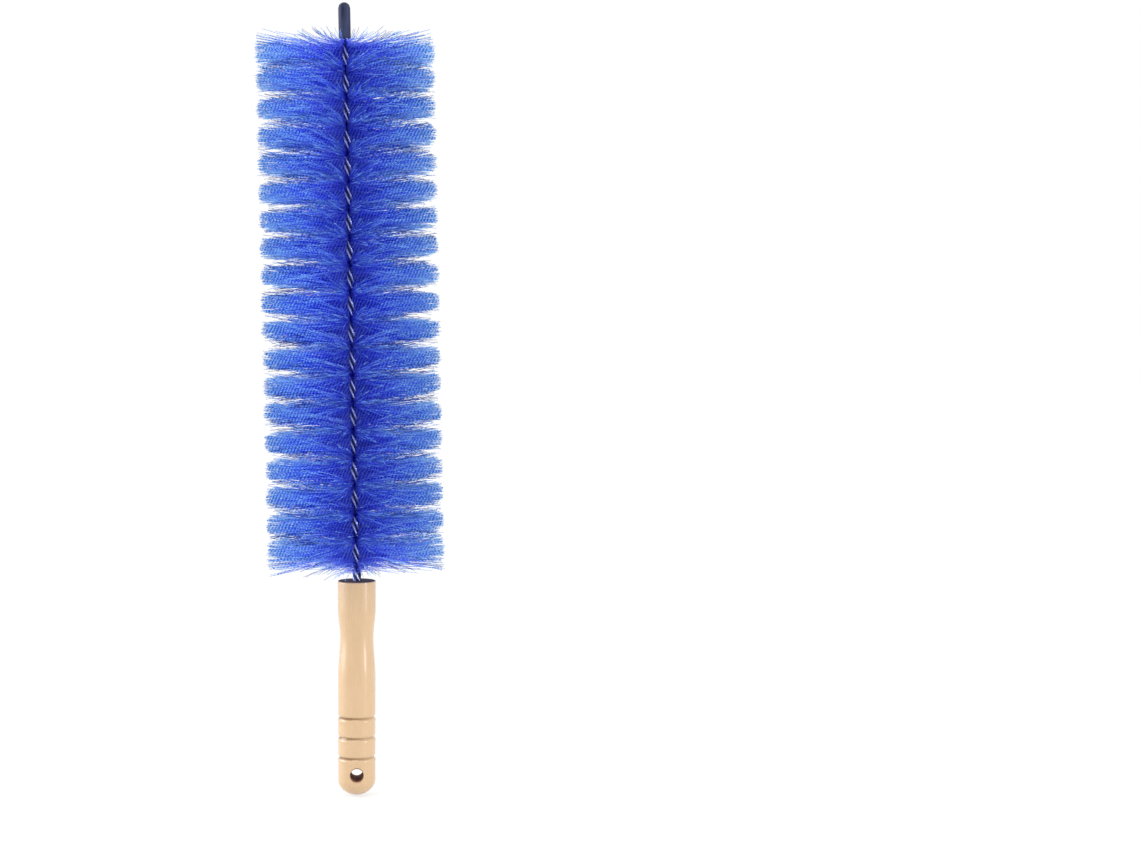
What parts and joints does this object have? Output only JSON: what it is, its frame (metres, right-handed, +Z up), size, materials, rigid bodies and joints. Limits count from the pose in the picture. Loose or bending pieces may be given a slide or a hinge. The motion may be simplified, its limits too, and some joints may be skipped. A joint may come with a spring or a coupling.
{
  "type": "ceiling fan duster",
  "caption": "Round twisted-in-wire fan duster with blue bristles in spiral lobes, a capped tip and a turned wooden handle with a hang hole.",
  "frame": {"origin": "middle of the hang hole, on the handle's axis", "axes": "+Z up the handle's axis towards the brush's tip, the hang hole along Y, the front at -Y"},
  "size_m": [0.0942, 0.0897, 0.3999],
  "materials": {
    "turned_beech": "satin lacquer",
    "dark_steel_wire": "drawn, dark",
    "black_vinyl": "soft, matte",
    "blue_filament": "crimped filament"
  },
  "bodies": {
    "root": {"handle": "turned_beech", "tip_cap": "black_vinyl", "wire_strand_1": "dark_steel_wire", "wire_strand_2": "dark_steel_wire", "wire_strand_3": "dark_steel_wire", "wire_strand_4": "dark_steel_wire", "bristle_row_01": "blue_filament", "bristle_row_02": "blue_filament", "bristle_row_03": "blue_filament", "bristle_row_04": "blue_filament", "bristle_row_05": "blue_filament", "bristle_row_06": "blue_filament", "bristle_row_07": "blue_filament", "bristle_row_08": "blue_filament", "bristle_row_09": "blue_filament", "bristle_row_10": "blue_filament", "bristle_row_11": "blue_filament", "bristle_row_12": "blue_filament", "bristle_row_13": "blue_filament", "bristle_row_14": "blue_filament", "bristle_row_15": "blue_filament", "bristle_row_16": "blue_filament", "bristle_row_17": "blue_filament", "bristle_row_18": "blue_filament", "bristle_row_19": "blue_filament"}
  },
  "joints": []
}
